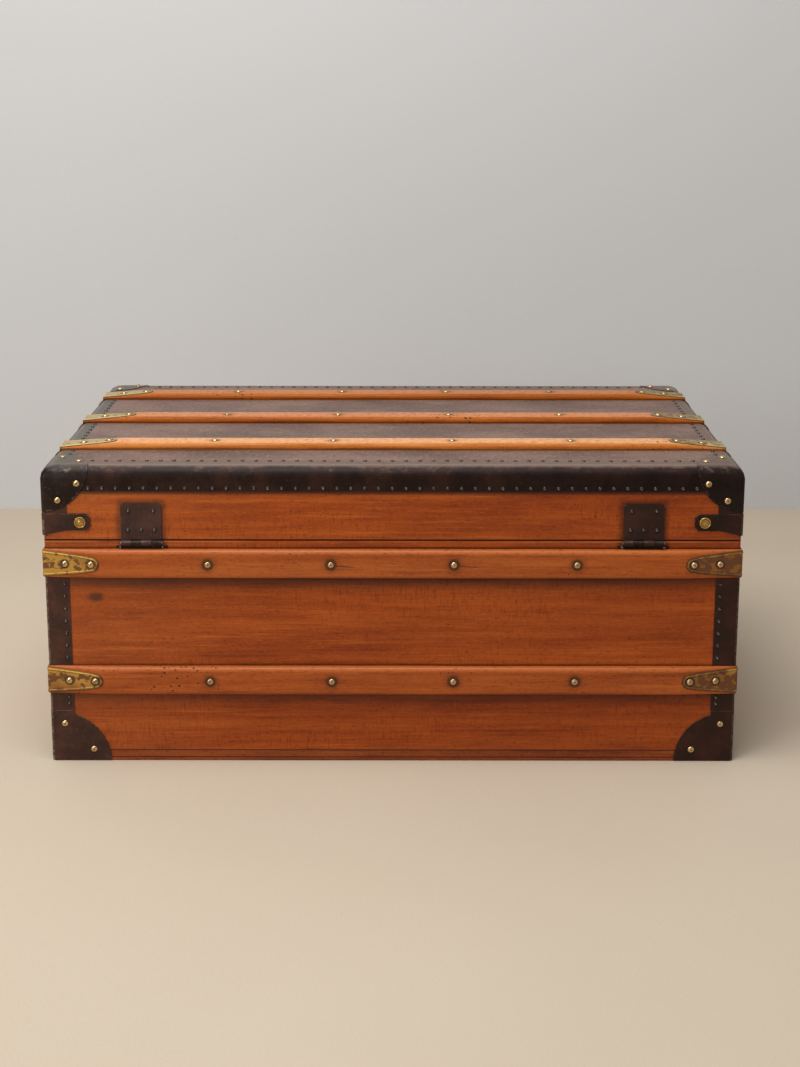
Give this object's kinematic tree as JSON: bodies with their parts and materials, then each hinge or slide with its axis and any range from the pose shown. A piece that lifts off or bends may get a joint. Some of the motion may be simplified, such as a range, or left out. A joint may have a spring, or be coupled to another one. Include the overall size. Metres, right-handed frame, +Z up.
{
  "type": "slatted travelling trunk",
  "caption": "Flat-topped travelling trunk with a hinged lid rolled at its edges, wooden slats, metal corners, a lock, catches, end handles and a lift-out tray.",
  "frame": {"origin": "centre of the bounding box in X and Y, on the underside of the skids in Z", "axes": "+X along the trunk to the right as seen from the hinge side, +Y out of the lock side, -Y out of the hinge side, +Z up"},
  "size_m": [0.927, 0.5592, 0.4127],
  "materials": {
    "panel_wood": "stained softwood, satin, worn",
    "skid_wood": "bare softwood, darkened",
    "slat_wood": "varnished hardwood, worn lighter along its edges",
    "top_slat_wood": "varnished hardwood, pale with wear",
    "tray_wood": "plain planed softwood",
    "lining": "plain pasted paper, aged",
    "canvas": "painted canvas, dull",
    "edging_iron": "dark brown enamelled sheet, satin, rubbed",
    "strap_iron": "dark brown enamelled sheet, rubbed",
    "hinge_iron": "dark enamelled iron",
    "clamps": "brassed sheet, tarnished in patches",
    "nails": "brass, dulled",
    "lock_brass": "brass, tarnished",
    "steel": "bright steel, dulled",
    "handle_leather": "stitched bridle leather"
  },
  "bodies": {
    "case": {"back_board": "panel_wood", "front_board": "panel_wood", "end_board_left": "panel_wood", "end_board_right": "panel_wood", "bottom_board": "panel_wood", "base_skids": "skid_wood", "case_lining": "lining", "case_rim": "tray_wood", "tray_rails": "tray_wood", "case_corner_strips": "edging_iron", "corner_shoes": "edging_iron", "slat_back_lower": "slat_wood", "slat_back_upper": "slat_wood", "slat_front_lower": "slat_wood", "slat_front_upper": "slat_wood", "case_clamps": "clamps", "hinge_leaves_case": "hinge_iron", "hinge_pins": "steel", "lock_case": "lock_brass", "catch_cases": "lock_brass", "handle_brackets": "steel", "case_nails": "nails"},
    "lid": {"lid_back_rail": "panel_wood", "lid_front_rail": "panel_wood", "lid_end_rail_left": "panel_wood", "lid_end_rail_right": "panel_wood", "lid_top_board": "panel_wood", "lid_lining": "lining", "lid_corner_strips": "edging_iron", "lid_edging_back": "edging_iron", "lid_edging_front": "edging_iron", "lid_edging_left": "edging_iron", "lid_edging_right": "edging_iron", "lid_caps": "edging_iron", "lid_canvas": "canvas", "lid_straps": "strap_iron", "lid_slat_back": "top_slat_wood", "lid_slat_middle": "top_slat_wood", "lid_slat_front": "top_slat_wood", "lid_clamps": "clamps", "hinge_leaves_lid": "hinge_iron", "hasp_plates": "lock_brass", "lid_nails": "nails"},
    "tray": {"tray_frame": "tray_wood", "tray_floor": "tray_wood"},
    "lock_hasp": {"lock_hasp": "lock_brass"},
    "catch_hasp_left": {"catch_hasp_left": "lock_brass"},
    "catch_hasp_right": {"catch_hasp_right": "lock_brass"},
    "lock_bolt": {"lock_bolt": "steel"},
    "catch_bolt_left": {"catch_bolt_left": "steel"},
    "catch_bolt_right": {"catch_bolt_right": "steel"},
    "handle_left": {"handle_left": "handle_leather"},
    "handle_right": {"handle_right": "handle_leather"}
  },
  "joints": [
    {"name": "lid_hinge", "type": "hinge", "parent": "case", "child": "lid", "pos_m": [0, -0.2701, 0.3], "axis": [1, 0, 0], "range_deg": [0, 105]},
    {"name": "tray_lift", "type": "slide", "parent": "case", "child": "tray", "axis": [0, 0, 1], "range_m": [0, 0.06]},
    {"name": "handle_swing_right", "type": "hinge", "parent": "case", "child": "handle_right", "pos_m": [0.4575, 0, 0.196], "axis": [0, -1, 0], "range_deg": [0, 100]},
    {"name": "handle_swing_left", "type": "hinge", "parent": "case", "child": "handle_left", "pos_m": [-0.4575, 0, 0.196], "axis": [0, 1, 0], "range_deg": [0, 100]},
    {"name": "lock_hasp_hinge", "type": "hinge", "parent": "lid", "child": "lock_hasp", "pos_m": [0, 0.26915, 0.315], "axis": [1, 0, 0], "range_deg": [0, 140]},
    {"name": "lock_bolt_slide", "type": "slide", "parent": "case", "child": "lock_bolt", "axis": [-1, 0, 0], "range_m": [0, 0.009]},
    {"name": "catch_hasp_left_hinge", "type": "hinge", "parent": "lid", "child": "catch_hasp_left", "pos_m": [-0.29, 0.26915, 0.315], "axis": [1, 0, 0], "range_deg": [0, 140]},
    {"name": "catch_bolt_left_slide", "type": "slide", "parent": "case", "child": "catch_bolt_left", "axis": [-1, 0, 0], "range_m": [0, 0.009]},
    {"name": "catch_hasp_right_hinge", "type": "hinge", "parent": "lid", "child": "catch_hasp_right", "pos_m": [0.29, 0.26915, 0.315], "axis": [1, 0, 0], "range_deg": [0, 140]},
    {"name": "catch_bolt_right_slide", "type": "slide", "parent": "case", "child": "catch_bolt_right", "axis": [-1, 0, 0], "range_m": [0, 0.009]}
  ]
}
